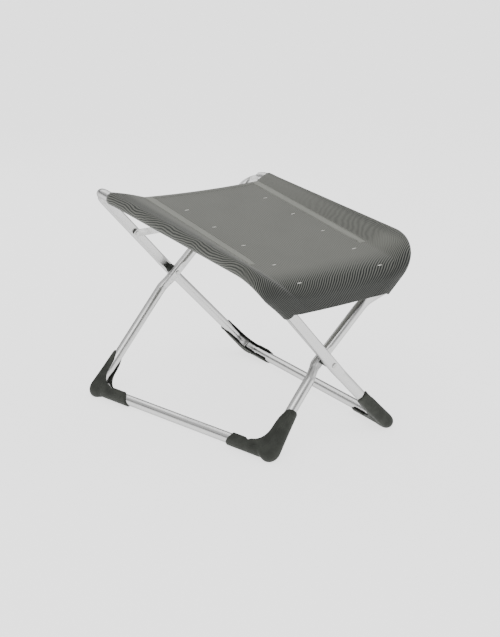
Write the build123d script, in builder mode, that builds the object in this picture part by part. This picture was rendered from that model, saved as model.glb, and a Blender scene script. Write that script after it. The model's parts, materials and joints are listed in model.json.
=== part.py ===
"""Folding camp stool: two crossed aluminium loops with a mesh sling seat. Millimetres, +Z up.

The outer loop has its top run at -X and its ground run at +X, and the inner loop crosses it the
other way. Both turn about one pivot axis that rises towards the back (+Y), so the seat slopes down
to the front while both ground runs lie level. The origin is on the floor under the middle of the
stool. "Along" is distance up the pivot axis from its middle, and "up" is distance from that axis
within a loop's plane.
"""
import os
from math import asin, cos, degrees, radians, sin, tan

from build123d import *

os.makedirs("parts", exist_ok=True)

# --- driving dimensions ---------------------------------------------------------------------
TUBE_R = 9.5  # 19 mm aluminium tube
WALL = 1.2
BORE_R = TUBE_R - WALL
HALF_LENGTH = 242.0  # outer legs' centrelines, along the pivot axis
INNER_HALF_LENGTH = 215.0  # inner legs above the pivot
INNER_FOOT_HALF_LENGTH = 221.4  # inner legs below their joggle
TOP_UP = 255.4  # pivot axis to the top runs, in the loop's plane
HALF_OPENING = 44.12  # each loop's lean from upright, degrees
AXIS_RISE = 8.66  # slope of the pivot axis, degrees
PIVOT_HEIGHT = 181.0
PIVOT_X = -1.47
PIVOT_SETBACK = 11.0  # with PIVOT_X, puts the origin under the middle of the whole stool
BAR_HEIGHT = 13.5  # centreline of both ground runs
LEG_RAKE = 8.9  # forward lean of the lower legs within the loop, degrees
RAKE_START = -24.0  # where the lower legs begin to lean
FOLDED_HALF_ANGLE = 5.5  # each loop's lean when the stool is shut, degrees

# flattened stretches of the legs, where bushes, spacers and rivet heads seat
FLAT = 7.0
FLAT_REACH = 16.0

# pivot hardware
PIN_R = 2.95
PIN_HOLE_R = 3.0
PIN_HEAD_R = 4.4
PIN_HEAD = 1.6
WASHER = 0.5
WASHER_RIM = 0.7  # how far a washer shows round the head
BUSH_R = 9.0
RUNNING_GAP = 0.3

# rear brace, two links that straighten when the stool is open
BRACE_UP = 122.0
LINK_WIDTH = 14.0
LINK = 2.0
LINK_HOLE_R = 2.5
LINK_PIN_R = 2.45
LEFT_LINK_AT = 230.0  # front face of the left link
RIGHT_LINK_AT = 225.5
LINK_HEAD_R = 4.5
LINK_HEAD = 1.2
MID_STUB = 1.1

# boots: open channels, whose flanks reach past the tube's centreline on the corner's inside
BOOT_R = 12.0
BOOT_BORE_R = TUBE_R + 0.1
BOOT_ON_LEG = 80.0
BOOT_ON_BAR = 82.0  # along the underside; the top stops short of it
BOOT_SLANT = 12.0
BOOT_REACH = 9.0  # of the flanks, on the ground run and in the corner
BOOT_SHOULDER = 24.0  # from the tip to where the flanks reach fully up the leg
BOOT_RIVET_AT = 62.0
HEEL_R = 18.5
HEEL_THICKNESS = 18.0
HEEL_IN_FRONT = 2.0  # heel's centre from the corner, along the ground run
HEEL_IN_REAR = 8.0
SOLE_LENGTH = 30.0
SOLE_WIDTH = 17.0

# seat
CLOTH = 2.0
SLEEVE_GAP = 0.3
SLEEVE = 1.5
SEAM_X = 130.0
SEAM_WIDTH = 9.0
REAR_EDGE = 142.0
FRONT_FACE = -246.0
HEM_UP = 112.0  # height of the front hem over the pivot axis, square to it
NOSE_R = 56.0
NOSE_SIDE_GAP = 19.0  # nose cloth's edge to the leg's centreline, along X
JOINT_GAP = 0.4

# --- planes and shared places ---------------------------------------------------------------
pivot = Vector(PIVOT_X, PIVOT_SETBACK, PIVOT_HEIGHT)
lean = radians(HALF_OPENING)
rise = radians(AXIS_RISE)
axis_dir = Vector(0, cos(rise), sin(rise))
axis_normal = Vector(0, -sin(rise), cos(rise))
left_up = axis_normal * cos(lean) - Vector(1, 0, 0) * sin(lean)
right_up = axis_normal * cos(lean) + Vector(1, 0, 0) * sin(lean)
outer_plane = Plane(pivot, x_dir=axis_dir, z_dir=axis_dir.cross(left_up))
inner_plane = Plane(pivot, x_dir=axis_dir, z_dir=axis_dir.cross(right_up))
facing_front = Plane(pivot, x_dir=(1, 0, 0), z_dir=-axis_dir)
seat_up = TOP_UP * cos(lean)
top_x = TOP_UP * sin(lean)


def across(along):
    """The plane square to the pivot axis: its x is +X and its y is away from the axis."""
    return facing_front.offset(-along)


def ground_corner(half_length, end):
    """Where a raked lower leg meets the level ground run, at the front (-1) or back (+1)."""
    fall = cos(lean) * cos(rise)
    rake = tan(radians(LEG_RAKE))
    drop = PIVOT_HEIGHT - BAR_HEIGHT + (end * half_length - RAKE_START * rake) * sin(rise)
    up = -drop / (fall + rake * sin(rise))
    return end * half_length + (up - RAKE_START) * rake, up


def inner_leg_at(up, end):
    """The inner loop's lower leg centreline at a distance below the pivot."""
    return end * INNER_FOOT_HALF_LENGTH + (up - RAKE_START) * tan(radians(LEG_RAKE)), up


# --- routes of the two loops, each starting and ending at the butt joint in its top run -----------
half_gap = JOINT_GAP / 2
outer_route = [
    (-half_gap, TOP_UP),
    (-HALF_LENGTH, TOP_UP),
    (-HALF_LENGTH, RAKE_START),
    ground_corner(HALF_LENGTH, -1),
    ground_corner(HALF_LENGTH, 1),
    (HALF_LENGTH, RAKE_START),
    (HALF_LENGTH, TOP_UP),
    (half_gap, TOP_UP),
]
outer_radii = [50, 120, 40, 40, 120, 40]

SHOULDER = 235.0  # inner loop's front leg steps out to this under the seat
inner_route = [
    (-half_gap, TOP_UP),
    (-SHOULDER, TOP_UP),
    (-SHOULDER, 158),
    (-INNER_HALF_LENGTH, 118),
    (-INNER_HALF_LENGTH, -17),
    inner_leg_at(-41, -1),
    ground_corner(INNER_FOOT_HALF_LENGTH, -1),
    ground_corner(INNER_FOOT_HALF_LENGTH, 1),
    inner_leg_at(-41, 1),
    (INNER_HALF_LENGTH, -17),
    (INNER_HALF_LENGTH, TOP_UP),
    (half_gap, TOP_UP),
]
inner_radii = [60, 45, 45, 30, 30, 40, 40, 30, 30, 40]

# each flat: centreline of the leg, which side of it, from and to
outer_flats = [
    (-HALF_LENGTH, -1, -FLAT_REACH, 24),
    (-HALF_LENGTH, 1, -FLAT_REACH, FLAT_REACH),
    (HALF_LENGTH, -1, -FLAT_REACH, 205),
    (HALF_LENGTH, 1, -FLAT_REACH, 24),
]
inner_flats = [
    (-INNER_HALF_LENGTH, -1, -FLAT_REACH, FLAT_REACH),
    (-INNER_HALF_LENGTH, 1, -FLAT_REACH, FLAT_REACH),
    (INNER_HALF_LENGTH, -1, -FLAT_REACH, FLAT_REACH),
    (INNER_HALF_LENGTH, 1, -FLAT_REACH, BRACE_UP + FLAT_REACH),
]


def swept_rod(plane, route, radii, radius, flats=(), flat=FLAT):
    """A round bar along a route of straight runs and arcs, pressed flat where flats says."""
    with BuildPart() as rod:
        with BuildLine(plane) as path:
            FilletPolyline(*route, radius=radii)
        with BuildSketch(Plane(path.line @ 0, z_dir=path.line % 0)):
            Circle(radius)
        sweep()
        for centre, side, low, high in flats:
            with BuildSketch(plane):
                with Locations((centre + side * (flat + radius / 2), (low + high) / 2)):
                    Rectangle(radius, high - low)
            extrude(amount=radius * 1.2, both=True, mode=Mode.SUBTRACT)
    return rod.part


def crosshole(along, radius, length, x=0.0, up=0.0):
    """A round cutter along the pivot axis, centred at a station along it."""
    with BuildPart() as cutter:
        with BuildSketch(across(along)):
            with Locations((x, up)):
                Circle(radius)
        extrude(amount=length / 2, both=True)
    return cutter.part


brace_x = BRACE_UP * sin(lean)
brace_up = BRACE_UP * cos(lean)
pivot_holes = [crosshole(end * HALF_LENGTH, PIN_HOLE_R, 90) for end in (-1, 1)]
left_brace_hole = crosshole(HALF_LENGTH, LINK_HOLE_R, 30, -brace_x, brace_up)
right_brace_hole = crosshole(INNER_HALF_LENGTH, LINK_HOLE_R, 30, brace_x, brace_up)

# --- the two loops ----------------------------------------------------------------------------
outer_solid = swept_rod(outer_plane, outer_route, outer_radii, TUBE_R, outer_flats)
outer_bore = swept_rod(outer_plane, outer_route, outer_radii, BORE_R, outer_flats, FLAT - WALL)
inner_solid = swept_rod(inner_plane, inner_route, inner_radii, TUBE_R, inner_flats)
inner_bore = swept_rod(inner_plane, inner_route, inner_radii, BORE_R, inner_flats, FLAT - WALL)

SPIGOT_LENGTH = 60.0
SPIGOT_GAP = 0.1
POP_R = 2.0
pop_stations = (-SPIGOT_LENGTH / 4, SPIGOT_LENGTH / 4)


def pop_plane(plane, station):
    """Under the top run, looking away from the loop's middle."""
    toward_top = plane.y_dir
    return Plane(plane.origin + plane.x_dir * station + toward_top * TOP_UP, z_dir=-toward_top)


def pop_holes(plane):
    with BuildPart() as cutters:
        for station in pop_stations:
            with BuildSketch(pop_plane(plane, station)):
                Circle(POP_R + 0.05)
            extrude(amount=TUBE_R + 2)
    return cutters.part


def ground_ends(plane, half_length, end):
    """A bottom corner, and the directions up its leg and along its ground run, in the loop."""
    corner = Vector(*ground_corner(half_length, end))
    far_corner = Vector(*ground_corner(half_length, -end))
    leg_dir = Vector(tan(radians(LEG_RAKE)), 1).normalized()
    return corner, leg_dir, (far_corner - corner).normalized()


def under_bar(plane, half_length, end):
    """The plane on a ground run's centreline, facing the floor, where a boot's rivet goes in."""
    corner, _, bar_dir = ground_ends(plane, half_length, end)
    place = plane.from_local_coords(corner + bar_dir * BOOT_RIVET_AT)
    return Plane(Vector(place.X, place.Y, BAR_HEIGHT), z_dir=(0, 0, -1))


def boot_rivet_holes(plane, half_length):
    with BuildPart() as cutters:
        for end in (-1, 1):
            with BuildSketch(under_bar(plane, half_length, end)):
                Circle(POP_R + 0.05)
            extrude(amount=BOOT_R + 4)
    return cutters.part


outer_pop_holes = pop_holes(outer_plane)
inner_pop_holes = pop_holes(inner_plane)
outer_boot_holes = boot_rivet_holes(outer_plane, HALF_LENGTH)
inner_boot_holes = boot_rivet_holes(inner_plane, INNER_FOOT_HALF_LENGTH)

with BuildPart() as outer_loop:
    add(outer_solid)
    add(outer_bore, mode=Mode.SUBTRACT)
    add(pivot_holes, mode=Mode.SUBTRACT)
    add(left_brace_hole, mode=Mode.SUBTRACT)
    add(outer_pop_holes, mode=Mode.SUBTRACT)
    add(outer_boot_holes, mode=Mode.SUBTRACT)

with BuildPart() as inner_loop:
    add(inner_solid)
    add(inner_bore, mode=Mode.SUBTRACT)
    add(pivot_holes, mode=Mode.SUBTRACT)
    add(right_brace_hole, mode=Mode.SUBTRACT)
    add(inner_pop_holes, mode=Mode.SUBTRACT)
    add(inner_boot_holes, mode=Mode.SUBTRACT)


def spigot(plane, holes):
    """The short tube inside a loop's butt joint."""
    centre = plane.origin + plane.y_dir * TOP_UP
    with BuildPart() as sleeve:
        with BuildSketch(Plane(centre, z_dir=plane.x_dir)):
            Circle(BORE_R - SPIGOT_GAP)
            Circle(BORE_R - SPIGOT_GAP - WALL, mode=Mode.SUBTRACT)
        extrude(amount=SPIGOT_LENGTH / 2, both=True)
        add(holes, mode=Mode.SUBTRACT)
    return sleeve.part


def pop_rivets(plane):
    """Two rivets set flush in the top run, which hold the spigot inside the pocket."""
    with BuildPart() as rivets:
        for station in pop_stations:
            base = pop_plane(plane, station)
            with BuildSketch(base.offset(BORE_R - 3)):
                Circle(POP_R)
            extrude(amount=TUBE_R - BORE_R + 2.9)
    return rivets.part


outer_spigot = spigot(outer_plane, outer_pop_holes)
inner_spigot = spigot(inner_plane, inner_pop_holes)
outer_spigot_rivets = pop_rivets(outer_plane)
inner_spigot_rivets = pop_rivets(inner_plane)


# --- pivots -----------------------------------------------------------------------------------
def pivot_parts(end):
    """Rivet, bush and washer of the front (-1) or rear (+1) pivot, from the outer leg inwards."""
    outside = HALF_LENGTH + FLAT
    bush_out = HALF_LENGTH - FLAT
    bush_in = INNER_HALF_LENGTH + FLAT + RUNNING_GAP
    inside = INNER_HALF_LENGTH - FLAT - RUNNING_GAP
    with BuildPart() as rivet:
        with BuildSketch(across(end * (inside - PIN_HEAD))):
            Circle(PIN_HEAD_R)
        extrude(amount=-end * PIN_HEAD)
        with BuildSketch(across(end * inside)):
            Circle(PIN_R)
        extrude(amount=-end * (outside + WASHER - inside))
        with BuildSketch(across(end * (outside + WASHER))):
            Circle(PIN_HEAD_R)
        extrude(amount=-end * PIN_HEAD)
        crown = rivet.edges().filter_by(GeomType.CIRCLE).sort_by(Axis(pivot, axis_dir))
        fillet([crown[0], crown[-1]], PIN_HEAD * 0.6)
    with BuildPart() as bush:
        with BuildSketch(across(end * bush_in)):
            Circle(BUSH_R)
            Circle(PIN_R, mode=Mode.SUBTRACT)
        extrude(amount=-end * (bush_out - bush_in))
        chamfer(bush.edges().filter_by(GeomType.CIRCLE).sort_by(SortBy.RADIUS)[-2:], 0.8)
    with BuildPart() as washer:
        with BuildSketch(across(end * outside)):
            Circle(PIN_HEAD_R + WASHER_RIM)
            Circle(PIN_R, mode=Mode.SUBTRACT)
        extrude(amount=-end * WASHER)
    return rivet.part, bush.part, washer.part


front_pivot_rivet, front_pivot_bush, front_pivot_washer = pivot_parts(-1)
rear_pivot_rivet, rear_pivot_bush, rear_pivot_washer = pivot_parts(1)


# --- rear brace ---------------------------------------------------------------------------------
def brace_link(side, front_face):
    """One flat link from its leg pivot (side -1 left, +1 right) to the middle of the stool."""
    with BuildPart() as link:
        with BuildSketch(across(front_face)):
            with Locations((side * brace_x / 2, brace_up)):
                SlotCenterToCenter(brace_x, LINK_WIDTH)
            with Locations((side * brace_x, brace_up)):
                Circle(LINK_HOLE_R, mode=Mode.SUBTRACT)
            with Locations((0, brace_up)):
                Circle(LINK_HOLE_R, mode=Mode.SUBTRACT)
        extrude(amount=-LINK)
    return link.part


def brace_disc(x, radius, along, thickness, hole=0.0):
    with BuildPart() as disc:
        with BuildSketch(across(along)):
            with Locations((x, brace_up)):
                Circle(radius)
                if hole:
                    Circle(hole, mode=Mode.SUBTRACT)
        extrude(amount=-thickness)
    return disc.part


def brace_rivet(x, pieces):
    """A rivet made of coaxial discs, each (radius, front face, thickness)."""
    with BuildPart() as rivet:
        for radius, along, thickness in pieces:
            with BuildSketch(across(along)):
                with Locations((x, brace_up)):
                    Circle(radius)
            extrude(amount=-thickness)
    return rivet.part


left_link_back = LEFT_LINK_AT + LINK
right_link_back = RIGHT_LINK_AT + LINK
left_leg_face = HALF_LENGTH - FLAT
right_leg_face = INNER_HALF_LENGTH + FLAT
PAD_GAP = 0.2

brace_link_left = brace_link(-1, LEFT_LINK_AT)
brace_link_right = brace_link(1, RIGHT_LINK_AT)
brace_spacer_left = brace_disc(
    -brace_x, 5.0, left_link_back + PAD_GAP, left_leg_face - left_link_back - PAD_GAP, LINK_PIN_R
)
brace_spacer_right = brace_disc(
    brace_x, 5.0, right_leg_face, RIGHT_LINK_AT - PAD_GAP - right_leg_face, LINK_PIN_R
)
brace_rivet_left = brace_rivet(
    -brace_x,
    [
        (LINK_HEAD_R, LEFT_LINK_AT - PAD_GAP - LINK_HEAD, LINK_HEAD),
        (LINK_PIN_R, LEFT_LINK_AT - PAD_GAP, HALF_LENGTH + TUBE_R - LEFT_LINK_AT + PAD_GAP + 0.5),
        (LINK_HEAD_R, HALF_LENGTH + TUBE_R + 0.3, LINK_HEAD),
    ],
)
brace_rivet_right = brace_rivet(
    brace_x,
    [
        (LINK_HEAD_R, INNER_HALF_LENGTH - TUBE_R - LINK_HEAD - 0.3, LINK_HEAD),
        (LINK_PIN_R, INNER_HALF_LENGTH - TUBE_R - 0.5, right_link_back + PAD_GAP
         - INNER_HALF_LENGTH + TUBE_R + 0.5),
        (LINK_HEAD_R, right_link_back + PAD_GAP, LINK_HEAD),
    ],
)
brace_mid_rivet_left = brace_rivet(
    0,
    [
        (LINK_HEAD_R, LEFT_LINK_AT - MID_STUB, MID_STUB),
        (LINK_HOLE_R, LEFT_LINK_AT, LINK),
        (LINK_HEAD_R, left_link_back, LINK_HEAD),
    ],
)
brace_mid_rivet_right = brace_rivet(
    0,
    [
        (LINK_HEAD_R, RIGHT_LINK_AT - LINK_HEAD, LINK_HEAD),
        (LINK_HOLE_R, RIGHT_LINK_AT, LINK),
        (LINK_HEAD_R, right_link_back, MID_STUB),
    ],
)


# --- boots --------------------------------------------------------------------------------------
def boot_parts(plane, half_length, end):
    """A moulded shoe on a bottom corner, and the rivet that holds it under the ground run."""
    corner, leg_dir, bar_dir = ground_ends(plane, half_length, end)
    off_leg = Vector(leg_dir.Y, -leg_dir.X) * -end  # towards the corner's inside, like off_bar
    off_bar = Vector(-bar_dir.Y, bar_dir.X) * -end
    skin = BOOT_R + 1
    tip = corner + leg_dir * BOOT_ON_LEG
    leg_end = tip + leg_dir * BOOT_SLANT
    mouth = corner + bar_dir * BOOT_ON_BAR
    bar_end = mouth + bar_dir * BOOT_SLANT
    open_corner = corner + (leg_dir + bar_dir) * (BOOT_REACH / abs(leg_dir.cross(bar_dir).Z))
    opening = [
        tip,
        tip - leg_dir * BOOT_SHOULDER + off_leg * BOOT_REACH,
        open_corner,
        bar_end + off_bar * BOOT_REACH,
        bar_end + leg_end - corner,
        leg_end,
    ]
    past_tip = [
        tip - leg_dir * 3 + off_leg * skin,
        tip,
        tip - off_leg * 8,
        tip - leg_dir * 3 - off_leg * skin,
        leg_end + leg_dir * BOOT_SLANT - off_leg * skin,
        leg_end + leg_dir * BOOT_SLANT + off_leg * skin,
    ]
    past_mouth = [
        mouth - off_bar * skin,
        mouth - bar_dir * BOOT_SLANT + off_bar * skin,
        bar_end + bar_dir * BOOT_SLANT + off_bar * skin,
        bar_end + bar_dir * BOOT_SLANT - off_bar * skin,
    ]
    heel = corner + leg_dir * 3 + bar_dir * (HEEL_IN_FRONT if end < 0 else HEEL_IN_REAR)
    route = [(point.X, point.Y) for point in (leg_end, corner, bar_end)]
    outside = swept_rod(plane, route, [40], BOOT_R)
    bore = swept_rod(plane, route, [40], BOOT_BORE_R)
    heel_centre = plane.from_local_coords(heel)
    under_bar_axis = plane.from_local_coords(corner)
    rivet_plane = under_bar(plane, half_length, end)
    with BuildPart() as boot:
        with BuildSketch(Plane(Vector(under_bar_axis.X, heel_centre.Y, 0))):
            RectangleRounded(SOLE_WIDTH, SOLE_LENGTH, 4)
        extrude(amount=BAR_HEIGHT + 3)
        with BuildSketch(plane):
            with Locations((heel.X, heel.Y)):
                Circle(HEEL_R)
        extrude(amount=HEEL_THICKNESS / 2, both=True)
        add(outside)
        add(bore, mode=Mode.SUBTRACT)
        with BuildSketch(plane) as cuts:
            Polygon(*[(point.X, point.Y) for point in opening], align=None)
            fillet(cuts.vertices().sort_by_distance(open_corner)[0], 40 - BOOT_REACH)
            Polygon(*[(point.X, point.Y) for point in past_tip], align=None)
            Polygon(*[(point.X, point.Y) for point in past_mouth], align=None)
        extrude(amount=BOOT_R * 2, both=True, mode=Mode.SUBTRACT)
        with BuildSketch(Plane(Vector(heel_centre.X, heel_centre.Y, 0))):
            Rectangle(4 * BOOT_ON_BAR, 4 * BOOT_ON_BAR)
        extrude(amount=-HEEL_R, mode=Mode.SUBTRACT)
        with BuildSketch(rivet_plane):
            Circle(POP_R + 0.05)
        extrude(amount=BOOT_R + 4, mode=Mode.SUBTRACT)
    with BuildPart() as rivet:
        with BuildSketch(rivet_plane.offset(BORE_R - 2)):
            Circle(POP_R)
        extrude(amount=BOOT_R - BORE_R + 2)
    return boot.part, rivet.part


boots = {}
for loop_name, loop_plane, loop_half in (
    ("outer", outer_plane, HALF_LENGTH),
    ("inner", inner_plane, INNER_FOOT_HALF_LENGTH),
):
    for end_name, end in (("front", -1), ("rear", 1)):
        boots[f"{loop_name}_{end_name}"] = boot_parts(loop_plane, loop_half, end)


# --- mesh sling -----------------------------------------------------------------------------------
side_plane = Plane(pivot, x_dir=axis_dir, z_dir=(1, 0, 0))
LINING_INSET = 5.0
LINING_REAR = -165.0
WEB_FRONT = -188.0
LEFT_POCKET_REAR = 182.0
RIGHT_POCKET_REAR = 173.0
POCKET_END_UP = 168.0


def sling_layer(inset, rear):
    """The seat cloth in side view: level back to front, over the nose and down to the hem."""
    top = seat_up - inset
    front = FRONT_FACE + inset
    with BuildPart() as layer:
        with BuildSketch(side_plane):
            with BuildLine():
                FilletPolyline((rear, top), (front, top), (front, HEM_UP), radius=NOSE_R - inset)
            trace(line_width=CLOTH)
        extrude(amount=SEAM_X - 1, both=True)
        low = HEM_UP - 5
        for side in (-1, 1):
            with BuildSketch(across(-120)):
                Polygon(
                    (side * (low * tan(lean) - NOSE_SIDE_GAP), low),
                    (side * SEAM_X, (SEAM_X + NOSE_SIDE_GAP) / tan(lean)),
                    (side * SEAM_X, low),
                    align=None,
                )
            extrude(amount=160, mode=Mode.SUBTRACT)
    return layer.part


def pocket(plane, side, half_length, radius, rear):
    """The sewn tunnel round a top run and its front corner, with its web up to the seam."""
    route = [(rear, TOP_UP), (-half_length, TOP_UP), (-half_length, POCKET_END_UP)]
    reach = [(rear + 5, TOP_UP), (-half_length, TOP_UP), (-half_length, POCKET_END_UP - 5)]
    sleeve = swept_rod(plane, route, [radius], TUBE_R + SLEEVE_GAP + SLEEVE)
    tunnel = swept_rod(plane, reach, [radius], TUBE_R + SLEEVE_GAP)
    level = Plane(pivot + axis_normal * seat_up, x_dir=(1, 0, 0), z_dir=axis_normal)
    with BuildPart() as tunnel_cloth:
        add(sleeve)
        with BuildSketch(level):
            Polygon(
                (side * top_x, rear),
                (side * (SEAM_X + 1), REAR_EDGE + 8),
                (side * (SEAM_X + 1), WEB_FRONT),
                (side * top_x, WEB_FRONT),
                align=None,
            )
        extrude(amount=CLOTH / 2, both=True)
        add(tunnel, mode=Mode.SUBTRACT)
    return tunnel_cloth.part


def seam_band(side, gap):
    """The doubled strip where a pocket is sewn to the seat."""
    low = seat_up + CLOTH / 2 + gap
    level = Plane(pivot + axis_normal * low, x_dir=(1, 0, 0), z_dir=axis_normal)
    with BuildPart() as band:
        with BuildSketch(level):
            with Locations((side * SEAM_X, (REAR_EDGE + WEB_FRONT) / 2)):
                Rectangle(SEAM_WIDTH, REAR_EDGE - WEB_FRONT)
        extrude(amount=0.8)
    return band.part


with BuildPart() as pivot_washers:
    add(front_pivot_washer)
    add(rear_pivot_washer)

nodes = {
    "outer_loop": outer_loop.part,
    "outer_spigot": outer_spigot,
    "outer_spigot_rivets": outer_spigot_rivets,
    "inner_loop": inner_loop.part,
    "inner_spigot": inner_spigot,
    "inner_spigot_rivets": inner_spigot_rivets,
    "pivot_rivet_front": front_pivot_rivet,
    "pivot_rivet_rear": rear_pivot_rivet,
    "pivot_bush_front": front_pivot_bush,
    "pivot_bush_rear": rear_pivot_bush,
    "pivot_washers": pivot_washers.part,
    "brace_link_left": brace_link_left,
    "brace_link_right": brace_link_right,
    "brace_spacer_left": brace_spacer_left,
    "brace_spacer_right": brace_spacer_right,
    "brace_rivet_left": brace_rivet_left,
    "brace_rivet_right": brace_rivet_right,
    "brace_mid_rivet_left": brace_mid_rivet_left,
    "brace_mid_rivet_right": brace_mid_rivet_right,
    "seat_panel": sling_layer(0, REAR_EDGE),
    "nose_lining": sling_layer(LINING_INSET, LINING_REAR),
    "pocket_left": pocket(outer_plane, -1, HALF_LENGTH, outer_radii[0], LEFT_POCKET_REAR),
    "pocket_right": pocket(inner_plane, 1, SHOULDER, inner_radii[0], RIGHT_POCKET_REAR),
    "seam_band_left": seam_band(-1, 0),
    "seam_band_right": seam_band(1, SLEEVE_GAP),
}
for place, (boot, boot_rivet) in boots.items():
    loop_name, end_name = place.split("_")
    nodes[f"{loop_name}_boot_{end_name}"] = boot
    nodes[f"{loop_name}_boot_rivet_{end_name}"] = boot_rivet

for name, solid in nodes.items():
    solid.label = name
    export_step(solid, f"parts/{name}.step")

# how far each brace link swings between open and shut, for the joints' ratio
folded_link = degrees(asin(1) - asin(sin(radians(FOLDED_HALF_ANGLE)) / sin(lean)))
swing = (90 - HALF_OPENING) - ((90 - FOLDED_HALF_ANGLE) - folded_link)
fold = 2 * (HALF_OPENING - FOLDED_HALF_ANGLE)
whole = Compound(children=list(nodes.values())).bounding_box()
print(f"size {whole.size}  middle {whole.center()}")
print(f"fold {fold:.3f}, brace swing {swing:.3f}, ratio {swing / fold:.5f}")
print(f"pivot {tuple(pivot)}  axis {tuple(axis_dir)}")
print(f"brace pivots at x {brace_x:.3f}, {tuple(pivot + axis_normal * brace_up)}")
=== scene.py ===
"""Looks of the folding camp stool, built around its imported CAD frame.

Blender's unit is the metre. Shapes are worked out in millimetres, in the stool's own directions:
"along" runs up the sloping pivot axis towards the back, "up" is distance from that axis within a
loop's plane, and "level" is distance from the axis square to it and to X. `place` turns them into
points of the frame.
"""

import json
from math import acos, asin, atan2, ceil, cos, exp, pi, radians, sin, tan

import bmesh
import bpy
import numpy as np
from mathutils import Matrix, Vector


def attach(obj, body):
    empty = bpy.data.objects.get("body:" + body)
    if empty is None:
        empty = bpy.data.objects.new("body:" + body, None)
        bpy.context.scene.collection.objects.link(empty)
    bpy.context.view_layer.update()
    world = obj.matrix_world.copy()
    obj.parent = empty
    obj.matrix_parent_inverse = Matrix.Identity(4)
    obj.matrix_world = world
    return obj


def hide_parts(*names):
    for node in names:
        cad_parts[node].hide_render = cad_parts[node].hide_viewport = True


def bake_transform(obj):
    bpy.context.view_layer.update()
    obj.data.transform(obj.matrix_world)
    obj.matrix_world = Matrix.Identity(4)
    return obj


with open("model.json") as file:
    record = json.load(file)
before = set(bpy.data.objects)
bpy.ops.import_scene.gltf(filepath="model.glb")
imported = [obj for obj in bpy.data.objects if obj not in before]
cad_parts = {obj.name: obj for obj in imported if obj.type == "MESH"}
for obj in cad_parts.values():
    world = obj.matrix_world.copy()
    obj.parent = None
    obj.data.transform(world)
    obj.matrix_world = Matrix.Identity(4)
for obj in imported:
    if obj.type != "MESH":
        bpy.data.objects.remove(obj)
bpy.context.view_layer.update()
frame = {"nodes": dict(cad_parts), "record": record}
MM = 0.001

# --- the frame's main directions, from the fold joint -------------------------------------------
fold = next(j for j in frame["record"]["behaviour"]["joints"] if j["name"] == "fold")
X_DIR = np.array([1.0, 0.0, 0.0])
pivot = np.array(fold["pos_m"]) / MM
axis_dir = -np.array(fold["axis"])
axis_normal = np.cross(X_DIR, axis_dir)
rise = asin(axis_dir[2])
lean = radians(44.12)

# --- sizes of the frame, millimetres ------------------------------------------------------------
TUBE_R = 9.5
FLAT = 7.0  # tube centre to a pressed flat
HALF_LENGTH = 242.0
INNER_HALF_LENGTH = 215.0
INNER_FOOT_HALF_LENGTH = 221.4
SHOULDER = 235.0
TOP_UP = 255.4
BAR_HEIGHT = 13.5
RAKE = tan(radians(8.9))
RAKE_START = -24.0
BRACE_UP = 122.0


class Loop:
    """One tube loop's plane. side is -1 for the outer loop, whose top run is at -X, else 1."""

    def __init__(self, side, body):
        self.side = side
        self.body = body
        self.up_dir = axis_normal * cos(lean) + side * X_DIR * sin(lean)
        self.square = np.cross(axis_dir, self.up_dir)

    def place(self, along, up, off=0.0):
        along, up, off = (np.asarray(v, float)[..., None] for v in (along, up, off))
        return pivot + along * axis_dir + up * self.up_dir + off * self.square


outer = Loop(-1, "outer_frame")
inner = Loop(1, "inner_frame")


def unit(v):
    v = np.asarray(v, float)
    return v / np.linalg.norm(v, axis=-1, keepdims=True)


def ease(t):
    t = np.clip(t, 0.0, 1.0)
    return t * t * (3 - 2 * t)


def ground_corner(half_length, end):
    """Where a raked lower leg meets the level ground run, as (along, up)."""
    drop = pivot[2] - BAR_HEIGHT + (end * half_length - RAKE_START * RAKE) * sin(rise)
    up = -drop / (cos(lean) * cos(rise) + RAKE * sin(rise))
    return end * half_length + (up - RAKE_START) * RAKE, up


def inner_leg_at(up, end):
    return end * INNER_FOOT_HALF_LENGTH + (up - RAKE_START) * RAKE, up


HALF_GAP = 0.2
OUTER_ROUTE = [
    (-HALF_GAP, TOP_UP), (-HALF_LENGTH, TOP_UP), (-HALF_LENGTH, RAKE_START),
    ground_corner(HALF_LENGTH, -1), ground_corner(HALF_LENGTH, 1),
    (HALF_LENGTH, RAKE_START), (HALF_LENGTH, TOP_UP), (HALF_GAP, TOP_UP),
]
OUTER_RADII = [50, 120, 40, 40, 120, 40]
INNER_ROUTE = [
    (-HALF_GAP, TOP_UP), (-SHOULDER, TOP_UP), (-SHOULDER, 158), (-INNER_HALF_LENGTH, 118),
    (-INNER_HALF_LENGTH, -17), inner_leg_at(-41, -1),
    ground_corner(INNER_FOOT_HALF_LENGTH, -1), ground_corner(INNER_FOOT_HALF_LENGTH, 1),
    inner_leg_at(-41, 1), (INNER_HALF_LENGTH, -17), (INNER_HALF_LENGTH, TOP_UP),
    (HALF_GAP, TOP_UP),
]
INNER_RADII = [60, 45, 45, 30, 30, 40, 40, 30, 30, 40]


def rounded(route, radii, step):
    """Points along straight runs joined by arcs, about a step apart."""
    route = [np.array(p, float) for p in route]
    points = [route[0]]
    for before, corner, after, radius in zip(route, route[1:], route[2:], radii):
        back, ahead = unit(before - corner), unit(after - corner)
        half = acos(np.clip(back @ ahead, -1, 1)) / 2
        start = corner + back * radius / tan(half)
        centre = corner + unit(back + ahead) * radius / sin(half)
        count = max(2, ceil(np.linalg.norm(start - points[-1]) / step))
        points += list(np.linspace(points[-1], start, count + 1)[1:])
        spoke = start - centre
        spin = np.sign(back[0] * ahead[1] - back[1] * ahead[0]) * -1
        count = max(4, ceil(radius * (pi - 2 * half) / step))
        for turn in np.linspace(0, pi - 2 * half, count + 1)[1:] * spin:
            c, s = cos(turn), sin(turn)
            points.append(centre + np.array([c * spoke[0] - s * spoke[1], s * spoke[0] + c * spoke[1]]))
    count = max(2, ceil(np.linalg.norm(route[-1] - points[-1]) / step))
    points += list(np.linspace(points[-1], route[-1], count + 1)[1:])
    return np.array(points)


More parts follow.
